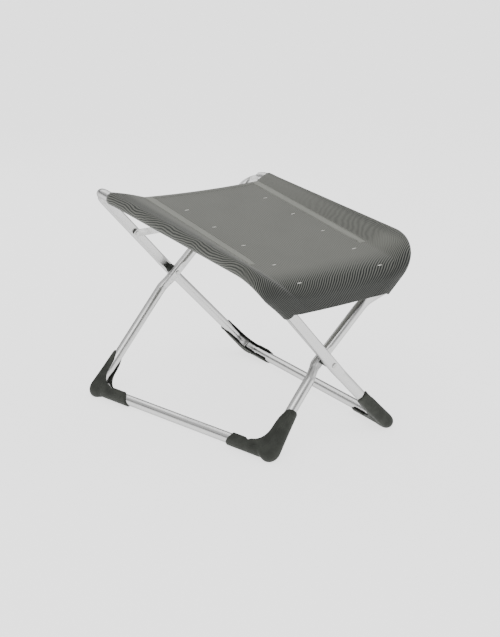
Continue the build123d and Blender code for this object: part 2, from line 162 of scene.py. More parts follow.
def lengths_along(points):
    steps = np.linalg.norm(np.diff(points, axis=0), axis=-1)
    return np.concatenate([[0.0], np.cumsum(steps)])


# --- mesh making ----------------------------------------------------------------------------------
def new_piece(name, vertices, faces, uvs=None, ribs=None):
    """An object from vertices in millimetres, with a (u, v) per vertex in each map it is given."""
    mesh = bpy.data.meshes.new(name)
    mesh.from_pydata((np.asarray(vertices) * MM).tolist(), [], [list(map(int, f)) for f in faces])
    index = np.zeros(len(mesh.loops), np.int32)
    mesh.loops.foreach_get("vertex_index", index)
    for layer_name, values, unit_size in (("weave", uvs, MM), ("ribs", ribs, 0.01)):
        if values is not None:
            layer = mesh.uv_layers.new(name=layer_name)
            layer.data.foreach_set("uv", (np.asarray(values)[index] * unit_size).astype(np.float32).ravel())
    mesh.polygons.foreach_set("use_smooth", [True] * len(mesh.polygons))
    mesh.validate()
    mesh.update()
    piece = bpy.data.objects.new(name, mesh)
    bpy.context.collection.objects.link(piece)
    return piece


def finish_piece(piece, material, body=None, replaces=()):
    piece.data.materials.append(material)
    if body:
        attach(piece, body)
    if replaces:
        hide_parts(*replaces)
    return piece


def grid_faces(rows, columns, wrap=False, first=0, flip=False):
    faces = []
    across = columns if wrap else columns - 1
    for i in range(rows - 1):
        for j in range(across):
            k = (j + 1) % columns
            face = [first + i * columns + j, first + i * columns + k,
                    first + (i + 1) * columns + k, first + (i + 1) * columns + j]
            faces.append(face[::-1] if flip else face)
    return faces


def sheet_solid(top, bottom):
    """Vertices and faces of a thin closed sheet between two grids of points."""
    rows, columns = top.shape[:2]
    count = rows * columns
    faces = grid_faces(rows, columns) + grid_faces(rows, columns, first=count, flip=True)
    rim = [i * columns for i in range(rows)]
    rim += [(rows - 1) * columns + j for j in range(1, columns)]
    rim += [i * columns + columns - 1 for i in range(rows - 2, -1, -1)]
    rim += [j for j in range(columns - 2, 0, -1)]
    for a, b in zip(rim, rim[1:] + rim[:1]):
        faces.append([a, b, b + count, a + count])
    return np.concatenate([top.reshape(-1, 3), bottom.reshape(-1, 3)]), faces


def merge(shapes):
    """Joins (vertices, faces, uvs) shapes into one."""
    vertices, faces, uvs, first = [], [], [], 0
    for shape_vertices, shape_faces, shape_uvs in shapes:
        vertices.append(shape_vertices)
        uvs.append(shape_uvs)
        faces += [[index + first for index in face] for face in shape_faces]
        first += len(shape_vertices)
    return np.concatenate(vertices), faces, np.concatenate(uvs)


# --- materials ------------------------------------------------------------------------------------
class Nodes:
    """Short ways to build one material's node tree."""

    def __init__(self, name):
        self.material = bpy.data.materials.new(name)
        self.material.use_nodes = True
        self.tree = self.material.node_tree
        self.shader = self.tree.nodes["Principled BSDF"]

    def add(self, kind, inputs=None, **settings):
        node = self.tree.nodes.new(kind)
        for key, value in settings.items():
            setattr(node, key, value)
        for key, value in (inputs or {}).items():
            self.feed(node.inputs[key], value)
        return node

    def feed(self, socket, value):
        if isinstance(value, bpy.types.NodeSocket):
            self.tree.links.new(value, socket)
        elif hasattr(socket.default_value, "__len__") and not hasattr(value, "__len__"):
            socket.default_value = (value,) * len(socket.default_value)
        else:
            socket.default_value = value

    def math(self, operation, a, b=0.0, clamp=False):
        node = self.add("ShaderNodeMath", operation=operation, use_clamp=clamp)
        self.feed(node.inputs[0], a)
        self.feed(node.inputs[1], b)
        return node.outputs[0]

    def mix(self, amount, a, b):
        node = self.add("ShaderNodeMix", data_type="RGBA")
        for socket, value in zip((node.inputs[0], node.inputs[6], node.inputs[7]), (amount, a, b)):
            self.feed(socket, value)
        return node.outputs[2]

    def remap(self, value, low, high, out_low=0.0, out_high=1.0):
        node = self.add("ShaderNodeMapRange", {0: value, 1: low, 2: high, 3: out_low, 4: out_high})
        node.interpolation_type = "SMOOTHSTEP"
        return node.outputs[0]

    def noise(self, vector, scale, detail=3.0, stretch=None):
        if stretch:
            vector = self.add("ShaderNodeMapping", {"Vector": vector, "Scale": stretch}).outputs[0]
        node = self.add("ShaderNodeTexNoise", {"Vector": vector, "Scale": scale, "Detail": detail})
        return node.outputs[0]

    def bump(self, height, strength, distance):
        node = self.add("ShaderNodeBump", {"Strength": strength, "Distance": distance, "Height": height})
        return node.outputs[0]

    def set(self, **inputs):
        for key, value in inputs.items():
            self.feed(self.shader.inputs[key.replace("_", " ")], value)
        return self.material


def place_of(nodes):
    return nodes.add("ShaderNodeTexCoord").outputs["Object"]


def uv_of(nodes):
    return nodes.add("ShaderNodeUVMap", uv_map="weave").outputs[0]


def shade(factor, colour):
    """A colour scaled by factor, with its alpha."""
    return tuple(factor * c for c in colour) + (1,)


def tube_material(name, tone, roughness):
    """Drawn aluminium: satin metal with fine lines along the tube and faint clouding."""
    nodes = Nodes(name)
    uv = uv_of(nodes)
    lines = nodes.noise(uv, 1.0, 2.0, stretch=(3, 900, 1))
    clouds = nodes.noise(place_of(nodes), 30.0, 3.0)
    scuffs = nodes.noise(uv, 1.0, 4.0, stretch=(40, 260, 1))
    colour = nodes.mix(nodes.remap(lines, 0.3, 0.7), shade(0.93, tone), shade(1, tone))
    clouded = nodes.remap(clouds, 0.3, 0.7, roughness * 0.88, roughness * 1.12)
    scuffed = nodes.math("MULTIPLY", nodes.remap(scuffs, 0.62, 0.75), 0.05)
    return nodes.set(Base_Color=colour, Metallic=1.0, Roughness=nodes.math("ADD", clouded, scuffed),
                     Normal=nodes.bump(lines, 0.04, 0.0001), Specular_Tint=(0.45, 0.45, 0.45, 1))


def metal_material(name, tone, roughness, grain=900.0):
    """Small plated or turned steel pieces."""
    nodes = Nodes(name)
    where = place_of(nodes)
    fine = nodes.noise(where, grain, 3.0)
    wide = nodes.noise(where, 90.0, 3.0)
    colour = nodes.mix(nodes.remap(wide, 0.35, 0.7), shade(0.78, tone), shade(1, tone))
    rough = nodes.remap(fine, 0.3, 0.7, roughness * 0.7, roughness * 1.35)
    return nodes.set(Base_Color=colour, Metallic=1.0, Roughness=rough, Normal=nodes.bump(fine, 0.3, 0.0001))


def plastic_material(name, tone, roughness):
    """Moulded plastic: a fine spark-eroded grain, slightly paler where it is rubbed."""
    nodes = Nodes(name)
    where = place_of(nodes)
    grain = nodes.noise(where, 1500.0, 2.0)
    patches = nodes.noise(where, 55.0, 5.0)
    colour = nodes.mix(nodes.remap(patches, 0.35, 0.72), shade(1, tone), shade(1.45, tone))
    rough = nodes.remap(patches, 0.3, 0.75, roughness * 0.85, roughness * 1.2)
    return nodes.set(Base_Color=colour, Roughness=rough, Normal=nodes.bump(grain, 0.35, 0.00015),
                     Specular_IOR_Level=0.06)


def thread_material(name, tone):
    """Twisted sewing thread."""
    nodes = Nodes(name)
    twist = nodes.noise(place_of(nodes), 2200.0, 2.0)
    colour = nodes.mix(nodes.remap(twist, 0.3, 0.7), shade(0.6, tone), shade(1, tone))
    return nodes.set(Base_Color=colour, Roughness=0.7, Sheen_Weight=0.2,
                     Normal=nodes.bump(twist, 0.5, 0.0002))


# the cloth: millimetres across it from its middle, and along it from where the nose starts
LIGHT_THREAD = (0.158, 0.161, 0.144)
# near black: the dark of the ribs and pocket lines, painted shade seen through the holes of two layers
SHADE_SEEN_THROUGH = (0.004, 0.006, 0.006)
THREAD_PITCH = 1.8
LINE_PITCH = 6.9
LINE_SLANT = 1.72
SEAM_X = 130.0
NOSE_LAYER_AND_SHADE_FROM = -34.0  # where the second layer and the nose's painted shade start to show, and where they show in full
NOSE_LAYER_AND_SHADE_TO = 26.0
NOSE_SHADE_FROM = 4.0  # where the nose's painted shade starts to deepen towards its hem, and where it is darkest
NOSE_SHADE_TO = 52.0
BROAD_ALONG = 13.0  # pitches of the right web's broad waves
BROAD_ACROSS = 26.0


def wave(nodes, at):
    """A sine of at, which counts whole waves, between 0 and 1."""
    sine = nodes.math("SINE", nodes.math("MULTIPLY", at, 2 * pi))
    return nodes.math("ADD", nodes.math("MULTIPLY", sine, 0.5), 0.5)


class Weave:
    """What the cloth's materials share: places on it, fine slanting lines and a square weave."""

    def __init__(self, nodes, light, calm):
        split = nodes.add("ShaderNodeSeparateXYZ", {"Vector": uv_of(nodes)})
        self.nodes = nodes
        self.across = nodes.math("MULTIPLY", split.outputs[0], 1 / MM)
        self.along = nodes.math("MULTIPLY", split.outputs[1], 1 / MM)
        self.both = nodes.add("ShaderNodeCombineXYZ", {0: self.across, 1: self.along}).outputs[0]
        self.drift = nodes.noise(self.both, 0.016, 2.0)
        slant_at = nodes.math("ADD", self.across, nodes.math("MULTIPLY", self.along, LINE_SLANT))
        self.lines = wave(nodes, nodes.math("ADD", nodes.math("MULTIPLY", slant_at, 1 / LINE_PITCH),
                                            nodes.math("MULTIPLY", self.drift, 3.0)))
        self.threads = nodes.math(
            "MULTIPLY", wave(nodes, nodes.math("MULTIPLY", self.across, 1 / THREAD_PITCH)),
            wave(nodes, nodes.math("MULTIPLY", self.along, 1 / THREAD_PITCH)))
        self.tone = self.flat_tone(light, calm)

    def flat_tone(self, light, calm):
        """One layer's colour. calm is how strongly its slanting lines show."""
        nodes = self.nodes
        gap = shade(light * 0.60, LIGHT_THREAD)
        blotches = nodes.noise(self.both, 0.012, 4.0)
        tone = nodes.mix(nodes.math("MULTIPLY", self.lines, calm), shade(light, LIGHT_THREAD), gap)
        tone = nodes.mix(nodes.math("MULTIPLY", self.threads, 0.25), tone, gap)
        return nodes.mix(nodes.remap(blotches, 0.35, 0.75, 0.0, 0.22), tone, gap)

    def rib_waves(self):
        """The nose's ribs and the pockets' lines, from the counts kept in the map "ribs"."""
        nodes = self.nodes
        ribs_map = nodes.add("ShaderNodeUVMap", uv_map="ribs").outputs[0]
        counts = nodes.add("ShaderNodeSeparateXYZ", {"Vector": ribs_map}).outputs
        uneven = nodes.noise(self.both, 0.03, 3.0)
        return [wave(nodes, nodes.math("ADD", nodes.math("MULTIPLY", count, 100),
                                       nodes.math("MULTIPLY", uneven, wander)))
                for count, wander in ((counts[0], 0.9), (counts[1], 1.8))]

    def right_web(self):
        """A slightly darker tone with broad waves near the front, and how much of it shows."""
        nodes = self.nodes
        broad_at = nodes.math("ADD", nodes.math("MULTIPLY", self.along, 1 / BROAD_ALONG),
                              nodes.math("ADD", nodes.math("MULTIPLY", self.across, 1 / BROAD_ACROSS),
                                         nodes.math("MULTIPLY", self.drift, 3.5)))
        broad = nodes.math("MULTIPLY", wave(nodes, broad_at), nodes.remap(self.along, -300, -120, 0.1, 1.0))
        tone = nodes.mix(nodes.math("MULTIPLY", broad, 0.42), shade(0.74, LIGHT_THREAD),
                         shade(0.30, LIGHT_THREAD))
        shown = nodes.math("MULTIPLY", nodes.remap(self.across, SEAM_X + 4, SEAM_X + 9),
                           nodes.remap(self.along, -70, -38, 1.0, 0.0))
        return shown, tone


def band_material(name, light):
    """The doubled cloth of the seams."""
    nodes = Nodes(name)
    weave = Weave(nodes, light, 0.15)
    return nodes.set(Base_Color=weave.tone, Roughness=0.82, Sheen_Weight=0.15, Sheen_Roughness=0.4,
                     Specular_IOR_Level=0.2, Normal=nodes.bump(weave.threads, 0.4, 0.0003))


def cloth_material(name):
    """Coated mesh. Where two layers lie on each other, it shows darker and in bolder ribs; that darkness is
    partly painted shade, seen through the holes and where the cloth turns away from the light over the nose
    and round the tubes.
    """
    nodes = Nodes(name)
    weave = Weave(nodes, 1.0, 0.80)
    ribs, pocket_lines = weave.rib_waves()
    right_share, right_tone = weave.right_web()
    tone = nodes.mix(right_share, weave.tone, right_tone)
    # lines flow along the left web and both tubes, bolder and darker towards the tube: the darkening is
    # partly painted shade, where the cloth turns down round the tube
    lined_and_shaded = nodes.mix(nodes.math("MULTIPLY", pocket_lines, 0.88), shade(0.78, LIGHT_THREAD),
                      shade(1, SHADE_SEEN_THROUGH))
    tone = nodes.mix(nodes.remap(weave.across, -SEAM_X - 18, -SEAM_X - 46), tone, lined_and_shaded)
    # painted shade, deeper near the right tube where the cloth curls under
    by_tube_shade = nodes.remap(weave.across, SEAM_X + 40, SEAM_X + 62)
    tone = nodes.mix(nodes.math("MULTIPLY", by_tube_shade, 0.7), tone, lined_and_shaded)
    # painted shade: the nose's ribs darken towards its hem, as the cloth turns away from the light
    shaded_rib_light = nodes.mix(nodes.remap(weave.along, NOSE_SHADE_FROM, NOSE_SHADE_TO), shade(0.84, LIGHT_THREAD),
                          shade(0.36, LIGHT_THREAD))
    ribbed_and_shaded = nodes.mix(nodes.remap(ribs, 0.15, 0.75), shaded_rib_light, shade(1, SHADE_SEEN_THROUGH))
    # over the start of the nose the second layer comes in, together with painted shade
    colour = nodes.mix(nodes.remap(weave.along, NOSE_LAYER_AND_SHADE_FROM, NOSE_LAYER_AND_SHADE_TO), tone, ribbed_and_shaded)
    height = nodes.math("ADD", nodes.math("MULTIPLY", weave.lines, 0.4),
                        nodes.math("MULTIPLY", weave.threads, 0.6))
    return nodes.set(Base_Color=colour, Roughness=0.80, Sheen_Weight=0.10, Sheen_Roughness=0.45,
                     Specular_IOR_Level=0.22, Normal=nodes.bump(height, 0.4, 0.0003))


aluminium = tube_material("drawn aluminium", (0.56, 0.56, 0.555), 0.27)
rivet_steel = metal_material("rivet steel", (0.52, 0.52, 0.51), 0.30)
plated_steel = metal_material("plated steel", (0.60, 0.60, 0.59), 0.36, 420.0)
boot_plastic = plastic_material("boot plastic", (0.031, 0.033, 0.029), 0.55)
hardware_plastic = plastic_material("hardware plastic", (0.020, 0.022, 0.019), 0.50)
mesh_cloth = cloth_material("mesh cloth")
band_cloth = band_material("band cloth", 1.40)
seam_thread = thread_material("seam thread", (0.12, 0.122, 0.108))
tack_thread = thread_material("tack thread", (0.85, 0.85, 0.80))


# --- tubes ----------------------------------------------------------------------------------------
FLAT_EASE = 12.0  # length over which a pressed flat runs out
TUBE_SIDES = 48
FLAT_REACH = 16.0
# each flat: the leg's centre along the axis, the side that faces it, lowest and highest up
OUTER_FLATS = [
    (-HALF_LENGTH, -1, -28, 205), (-HALF_LENGTH, 1, -FLAT_REACH, FLAT_REACH),
    (HALF_LENGTH, -1, -FLAT_REACH, 205), (HALF_LENGTH, 1, -FLAT_REACH, 24),
]
INNER_FLATS = [
    (-INNER_HALF_LENGTH, -1, -FLAT_REACH, FLAT_REACH), (-INNER_HALF_LENGTH, 1, -FLAT_REACH, FLAT_REACH),
    (INNER_HALF_LENGTH, -1, -FLAT_REACH, FLAT_REACH),
    (INNER_HALF_LENGTH, 1, -FLAT_REACH, BRACE_UP + FLAT_REACH),
]


def route_sides(points):
    """Unit directions along a route and away from the loop's inside, for each point."""
    tangent = unit(np.gradient(points, axis=0))
    outward = np.stack([tangent[:, 1], -tangent[:, 0]], axis=1)
    return tangent, outward


def tube_piece(name, loop, route, radii, flats):
    points = rounded(route, radii, 2.6)
    _, outward = route_sides(points)
    middle = points.mean(0)
    if np.sum((points[len(points) // 4] - middle) * outward[len(points) // 4]) < 0:
        outward = -outward
    around = np.linspace(0, 2 * pi, TUBE_SIDES, endpoint=False)
    in_plane = np.cos(around)[None, :] * TUBE_R * np.ones((len(points), 1))
    off_plane = np.sin(around)[None, :] * TUBE_R * np.ones((len(points), 1))
    for centre, side, low, high in flats:
        near = np.abs(points[:, 0] - centre) < 3.0
        pressed = ease((points[:, 1] - low) / FLAT_EASE + 1) * ease((high - points[:, 1]) / FLAT_EASE + 1)
        pressed = np.where(near, pressed, 0.0)[:, None]
        limit = TUBE_R - (TUBE_R - FLAT) * pressed
        facing = side * outward[:, :1]  # 1 where the pressed side is the loop's outside
        reach = in_plane * facing
        clipped = np.where(reach > limit, limit + 0.04 * (reach - limit), reach)
        in_plane = np.where(np.abs(facing) > 0.5, clipped * np.sign(facing), in_plane)
        off_plane = off_plane * (1 + 0.025 * pressed)
    flat_points = points[:, None, :] + in_plane[..., None] * outward[:, None, :]
    vertices = loop.place(flat_points[..., 0], flat_points[..., 1], off_plane).reshape(-1, 3)
    rows = len(points)
    faces = grid_faces(rows, TUBE_SIDES, wrap=True)
    faces.append(list(range(TUBE_SIDES)))
    faces.append(list(range((rows - 1) * TUBE_SIDES, rows * TUBE_SIDES))[::-1])
    far = np.repeat(lengths_along(points), TUBE_SIDES)
    turn = np.tile(around * TUBE_R, rows)
    return new_piece(name, vertices, faces, np.stack([far, turn], axis=1))


def make_tubes():
    outer_tube = tube_piece("outer_tube", outer, OUTER_ROUTE, OUTER_RADII, OUTER_FLATS)
    finish_piece(outer_tube, aluminium, "outer_frame", ["outer_loop"])
    inner_tube = tube_piece("inner_tube", inner, INNER_ROUTE, INNER_RADII, INNER_FLATS)
    finish_piece(inner_tube, aluminium, "inner_frame", ["inner_loop"])


# --- boots ----------------------------------------------------------------------------------------
BOOT_R = 12.2
BOOT_BORE = TUBE_R + 0.15
BEND_R = 40.0
SHELL_UP_LEG = 82.0
FRONT_ON_BAR = 88.0  # underneath, where the flanks' ends slant back from it
REAR_ON_BAR = 98.0
MOUTH_SLANT = 12.0
HEEL_R = 18.7
SHELL_COLUMNS = 84
SHELL_STEP = 1.3
FLANK_ON_LEG = 11.0  # how far the flanks reach past the tube's centreline
FLANK_ON_BAR = 9.6
FLANK_DIP = 2.4  # the notch in the flanks' edges past the bend
RIDGE_PITCH = 5.4
RIDGE_HEIGHT = 0.55
TIP_ROUND = 6.0
LIP = 1.6  # how wide the rounding of the flanks' edges is
SMOOTHING = [0.1, 0.2, 0.4, 0.2, 0.1]


def shell_reach(points, outward, leg_dir, bar_dir, heel, notch):
    """How far the shell's outside lies from each point of the tube's centreline, measured outwards.

    points and heel are from the corner. The outside runs straight from the tip down to the heel's
    round, and after a notch goes on along the ground run.
    """
    turn_out = np.array([[0, 1], [-1, 0]])
    leg_out, bar_out = turn_out @ leg_dir, turn_out @ bar_dir
    leg_out = -leg_out if leg_out @ bar_dir > 0 else leg_out
    bar_out = -bar_out if bar_out @ leg_dir > 0 else bar_out
    widening = (heel @ leg_out + HEEL_R - BOOT_R) / (SHELL_UP_LEG - heel @ leg_dir)
    slope = outward @ leg_out + widening * (outward @ leg_dir)
    room = BOOT_R + widening * (SHELL_UP_LEG - points @ leg_dir) - points @ leg_out
    to_leg = np.where(slope > 0.05, room / np.maximum(slope, 0.05), 1e3)
    hit = points + to_leg[:, None] * outward
    on_leg = (to_leg < 1e3) & (hit @ leg_dir >= heel @ leg_dir + widening * HEEL_R)
    slope = outward @ bar_out
    to_bar = np.where(slope > 0.05, (BOOT_R - points @ bar_out) / np.maximum(slope, 0.05), 1e3)
    hit = points + to_bar[:, None] * outward
    on_bar = (to_bar < 1e3) & (hit @ bar_dir >= notch)
    offset = points - heel
    towards = np.sum(offset * outward, axis=1)
    root = towards**2 - np.sum(offset**2, axis=1) + HEEL_R**2
    to_heel = np.where(root > 0, -towards + np.sqrt(np.maximum(root, 0)), BOOT_R)
    reach = np.where(on_leg, to_leg, np.where(on_bar, np.maximum(to_bar, to_heel), to_heel))
    return np.maximum(reach, BOOT_R - 0.8)


class BootRoute:
    """A boot's stations down the leg, round the corner and along the ground run."""

    def __init__(self, half_length, end):
        corner = np.array(ground_corner(half_length, end))
        far_corner = np.array(ground_corner(half_length, -end))
        leg_dir, bar_dir = unit([RAKE, 1.0]), unit(far_corner - corner)
        on_bar = FRONT_ON_BAR if end < 0 else REAR_ON_BAR
        route = [corner + leg_dir * SHELL_UP_LEG, corner, corner + bar_dir * on_bar]
        self.points = rounded(route, [BEND_R], SHELL_STEP)
        self.tangent, self.outward = route_sides(self.points)
        if self.outward[len(self.points) // 2] @ (leg_dir + bar_dir) > 0:
            self.outward = -self.outward
        self.far = lengths_along(self.points)
        turned = np.arccos(np.clip(self.tangent @ -leg_dir, -1, 1))
        self.bend_from = self.far[turned < 0.01][-1]
        self.bend_to = self.far[turned > turned[-1] - 0.01][0]
        heel, notch = (leg_dir * 3 - bar_dir * 4, 9.3) if end < 0 else (leg_dir + bar_dir * 3, 19.0)
        reach = shell_reach(self.points - corner, self.outward, leg_dir, bar_dir, heel, notch)
        self.reach = np.convolve(np.pad(reach, 2, mode="edge"), SMOOTHING, mode="valid")

    def flanks(self):
        """How far the flanks reach past the tube's centreline, into the corner."""
        on_leg = FLANK_ON_LEG * (1 - np.exp(-self.far / 18.0)) - 0.5
        level = ease((self.far - self.bend_to + 8) / 10)
        dip = FLANK_DIP * np.exp(-(((self.far - self.bend_to - 4) / 4.5) ** 2))
        return on_leg * (1 - level) + FLANK_ON_BAR * level - dip

    def relief(self, c, half_width):
        """The outside's relief at distances c from the keel: set back past a fold line, with ridges."""
        far = self.far[:, None]
        fold_line = (0.46 + 0.16 * ease(self.far / self.bend_from))[:, None] * half_width
        beyond = ease((c - fold_line) / 1.6 + 0.5)
        groove = np.exp(-(((c - fold_line) / 0.8) ** 2))
        middle = (self.bend_from + self.bend_to) / 2
        ridged = np.exp(-(((far - middle + 2) / 11) ** 2)) * np.exp(-(((c - fold_line - 9) / 8) ** 2))
        ridges = np.sin(2 * pi * (far + 0.5 * c) / RIDGE_PITCH) * RIDGE_HEIGHT * ridged
        relief = ease(far / 12) * (-0.8 * beyond - 0.4 * groove) + ridges
        return relief * (1 - ease((far - self.bend_to + 4) / 10))

    def slide(self, share):
        """How far each point is moved along the route, to round the tip and slant the mouth."""
        far = self.far[:, None]
        rounding = 1 - np.maximum(1 - share**2.6, 0) ** (1 / 2.6)
        tip_back = TIP_ROUND * rounding * np.clip(1 - far / 22, 0, 1)
        on_bar = np.clip((far - self.bend_to) / (self.far[-1] - self.bend_to), 0, 1)
        return tip_back - MOUTH_SLANT * share**1.2 * on_bar


def channel(c, radius, extra=0.0, relief=0.0):
    """A half round and two flat flanks at distances c from the keel, as (in plane, off plane)."""
    quarter = pi / 2 * radius
    on_curve = np.clip(c / quarter, 0, 1) * pi / 2
    in_plane = extra + np.cos(on_curve) * (radius + relief) - np.maximum(c - quarter, 0.0)
    return in_plane, np.sin(on_curve) * (radius + relief)


def boot_shell(loop, half_length, end):
    """The open channel round a bottom corner, as (vertices, faces, uvs)."""
    route = BootRoute(half_length, end)
    station = np.linspace(-1, 1, SHELL_COLUMNS)[None, :]
    share, side = np.abs(station), np.sign(station)
    flank, extra = route.flanks()[:, None], (route.reach - BOOT_R)[:, None]
    half_width = pi / 2 * BOOT_R + extra + flank
    c = share * half_width
    outer_in, outer_off = channel(c, BOOT_R, extra, route.relief(c, half_width))
    inner_in, inner_off = channel(share * (pi / 2 * BOOT_BORE + flank), BOOT_BORE)
    outer_off, inner_off = outer_off * side, inner_off * side
    # the lips are rounded and both ends are thinned
    edge = 0.40 + 0.60 * ease((1 - share) * half_width / LIP)
    middle_in, middle_off = (outer_in + inner_in) / 2, (outer_off + inner_off) / 2
    outer_in = middle_in + (outer_in - middle_in) * edge
    outer_off = middle_off + (outer_off - middle_off) * edge
    ends = np.minimum(route.far, route.far[-1] - route.far)
    taper = ease(ends / 3.0)[:, None] * 0.65 + 0.35
    outer_in = inner_in + (outer_in - inner_in) * taper
    outer_off = inner_off + (outer_off - inner_off) * taper
    slide = route.slide(share)

    def grid(in_plane, off_plane):
        flat = route.points[:, None, :] + in_plane[..., None] * route.outward[:, None, :]
        flat = flat + slide[..., None] * route.tangent[:, None, :]
        placed = loop.place(flat[..., 0], flat[..., 1], off_plane)
        placed[..., 2] = np.maximum(placed[..., 2], 0.0)
        return placed

    vertices, faces = sheet_solid(grid(outer_in, outer_off), grid(inner_in, inner_off))
    uvs = np.stack([np.repeat(route.far, SHELL_COLUMNS), (c * side).ravel()], axis=1)
    return vertices, faces, np.concatenate([uvs, uvs])


def fix_normals(piece):
    """Makes every closed shell's faces look outwards."""
    shell = bmesh.new()
    shell.from_mesh(piece.data)
    bmesh.ops.recalc_face_normals(shell, faces=shell.faces)
    shell.to_mesh(piece.data)
    shell.free()
    piece.data.update()


def make_boots():
    for loop_name, loop, half_length in (
        ("outer", outer, HALF_LENGTH), ("inner", inner, INNER_FOOT_HALF_LENGTH),
    ):
        for end_name, end in (("front", -1), ("rear", 1)):
            piece = new_piece(f"{loop_name}_{end_name}_shoe", *boot_shell(loop, half_length, end))
            fix_normals(piece)
            finish_piece(piece, boot_plastic, loop.body, [f"{loop_name}_boot_{end_name}"])


# --- sling ----------------------------------------------------------------------------------------
SEAT_SLOPE = 0.06358  # of the seat's middle to the pivot axis
SEAT_LEVEL = 179.45  # level of that slope over the pivot
REAR_EDGE = 147.0
SEAM_REAR = 150.0
NOSE_START = -217.5
NOSE_R = 30.0
HEM_LEVEL = 112.0
LEFT_CORNER_R = 50.0
RIGHT_CORNER_R = 60.0
LEFT_REAR = 182.0
RIGHT_REAR = 173.0
WRAP_R = 10.6  # tube centre to the middle of the cloth
CLOTH = 1.0
WEB = 48.0  # seam to tube, across
UNDER_GAP = 2.2
LEFT_SLACK = 6.0
WEB_CROWN = 1.2
SEAT_SAG = 1.6
WRAP_POINTS = 21  # points of a cross row: round a tube, over a web, under it and over the middle
WEB_POINTS = 15
BACK_POINTS = 11
MIDDLE_POINTS = 42
TOP_ROWS = 62
NOSE_ROWS = 46
TOP_LENGTH = REAR_EDGE - NOSE_START
NOSE_LEVEL = SEAT_LEVEL + SEAT_SLOPE * NOSE_START
NOSE_LENGTH = NOSE_R * pi / 2 + NOSE_LEVEL - NOSE_R - HEM_LEVEL


def place(x, along, level):
    x, along, level = (np.asarray(v, float)[..., None] for v in (x, along, level))
    return pivot + x * X_DIR + along * axis_dir + level * axis_normal


def tube_at(t, rear, half_length, corner, hem):
    """Centre of a pocket's tube (along, up) and its turn: t is -1 at the back, 0 to 1 over the nose."""
    start = -half_length + corner
    if t <= 0:
        return start + (rear - start) * -t, TOP_UP, 0.0
    bend = corner * pi / 2
    leg = TOP_UP - corner - hem / cos(lean)
    far = t * (bend + leg)
    if far < bend:
        turn = far / corner
        return start - corner * sin(turn), TOP_UP - corner * (1 - cos(turn)), turn
    return -half_length, TOP_UP - corner - (far - bend), pi / 2


def nose_turn(t):
    return min(max(t, 0) * NOSE_LENGTH / NOSE_R, pi / 2)


def middle_at(t, rear):
    """The seat's middle line (along, level) at t, from its rear edge to the front hem."""
    if t <= 0:
        along = NOSE_START + (rear - NOSE_START) * -t
        return along, SEAT_LEVEL + SEAT_SLOPE * along
    turn = nose_turn(t)
    drop = NOSE_R * (1 - cos(turn)) + max(t * NOSE_LENGTH - NOSE_R * pi / 2, 0)
    return NOSE_START - NOSE_R * sin(turn), NOSE_LEVEL - drop


def half_row(t, side):
    """One side of a cross row, from the seam over the web, round the tube and back underneath."""
    if side < 0:
        loop, route = outer, (LEFT_REAR, HALF_LENGTH, LEFT_CORNER_R, HEM_LEVEL + 3.5)
    else:
        loop, route = inner, (RIGHT_REAR, SHOULDER, RIGHT_CORNER_R, HEM_LEVEL)
    along, up, turn = tube_at(t, *route)
    centre = loop.place(along, up)
    outward = -sin(turn) * axis_dir + cos(turn) * loop.up_dir
    square = side * X_DIR * cos(lean) - axis_normal * sin(lean)
    middle_turn = nose_turn(t)
    normal = cos(middle_turn) * axis_normal - sin(middle_turn) * axis_dir
    seam_x = side * (up * sin(lean) - WEB * (1 - 0.12 * max(t, 0)))
    seam_along, seam_level = middle_at(t, SEAM_REAR)
    seam = place(seam_x, seam_along, seam_level)
    below = seam - normal * UNDER_GAP
    away = np.array([(seam - centre) @ outward, (seam - centre) @ square])
    spread = acos(WRAP_R / np.hypot(*away))
    facing = atan2(away[1], away[0])
    first, last = facing + spread, facing - spread
    over = cos(first) * outward + sin(first) * square
    if over @ normal < (cos(last) * outward + sin(last) * square) @ normal:
        first, last = last, first
    sweep = (last - first) % (2 * pi)
    if cos(first + sweep / 2 - facing) > 0:
        sweep -= 2 * pi
    angles = first + sweep * np.linspace(0, 1, WRAP_POINTS)
    wrap = centre + WRAP_R * (np.cos(angles)[:, None] * outward + np.sin(angles)[:, None] * square)
    if side < 0:  # the left pocket hangs loose round its front corner
        loose = LEFT_SLACK * exp(-(((t - 0.45) / 0.35) ** 2))
        slack = loose * np.sin(np.linspace(0, pi, WRAP_POINTS)) ** 0.5
        wrap = wrap + slack[:, None] * unit(wrap.mean(0) - centre)
    share = np.linspace(0, 1, WEB_POINTS)[:-1, None]
    crown = WEB_CROWN * np.sin(share * pi) * normal
    top_web = seam + (wrap[0] - seam) * share + crown
    back = np.linspace(0, 1, BACK_POINTS)[1:, None]
    under_web = wrap[-1] + (below - wrap[-1]) * back
    return np.concatenate([top_web, wrap, under_web])


def row_at(t):
    """A whole cross row at t, left underside to right underside, and the seams' indices in it."""
    left, right = half_row(t, -1)[::-1], half_row(t, 1)
    share = np.linspace(0, 1, MIDDLE_POINTS)[1:-1]
    x = left[-1][0] + (right[0][0] - left[-1][0]) * share
    off_middle = np.abs(2 * share - 1)
    rear = REAR_EDGE + (SEAM_REAR - REAR_EDGE) * off_middle**2
    line = np.array([middle_at(t, r) for r in rear])
    sag = SEAT_SAG * (1 - off_middle**2) * (1 - 0.5 * max(t, 0))
    middle = place(x - pivot[0], line[:, 0], line[:, 1] - sag)
    return np.concatenate([left, middle, right]), len(left) - 1, len(left) + len(middle)


def across_of(points, seam_left, seam_right):
    """Distance across a row from its middle, fixed at the seams so that the weave runs straight."""
    far = lengths_along(points)
    return far - (far[seam_left] + far[seam_right]) / 2


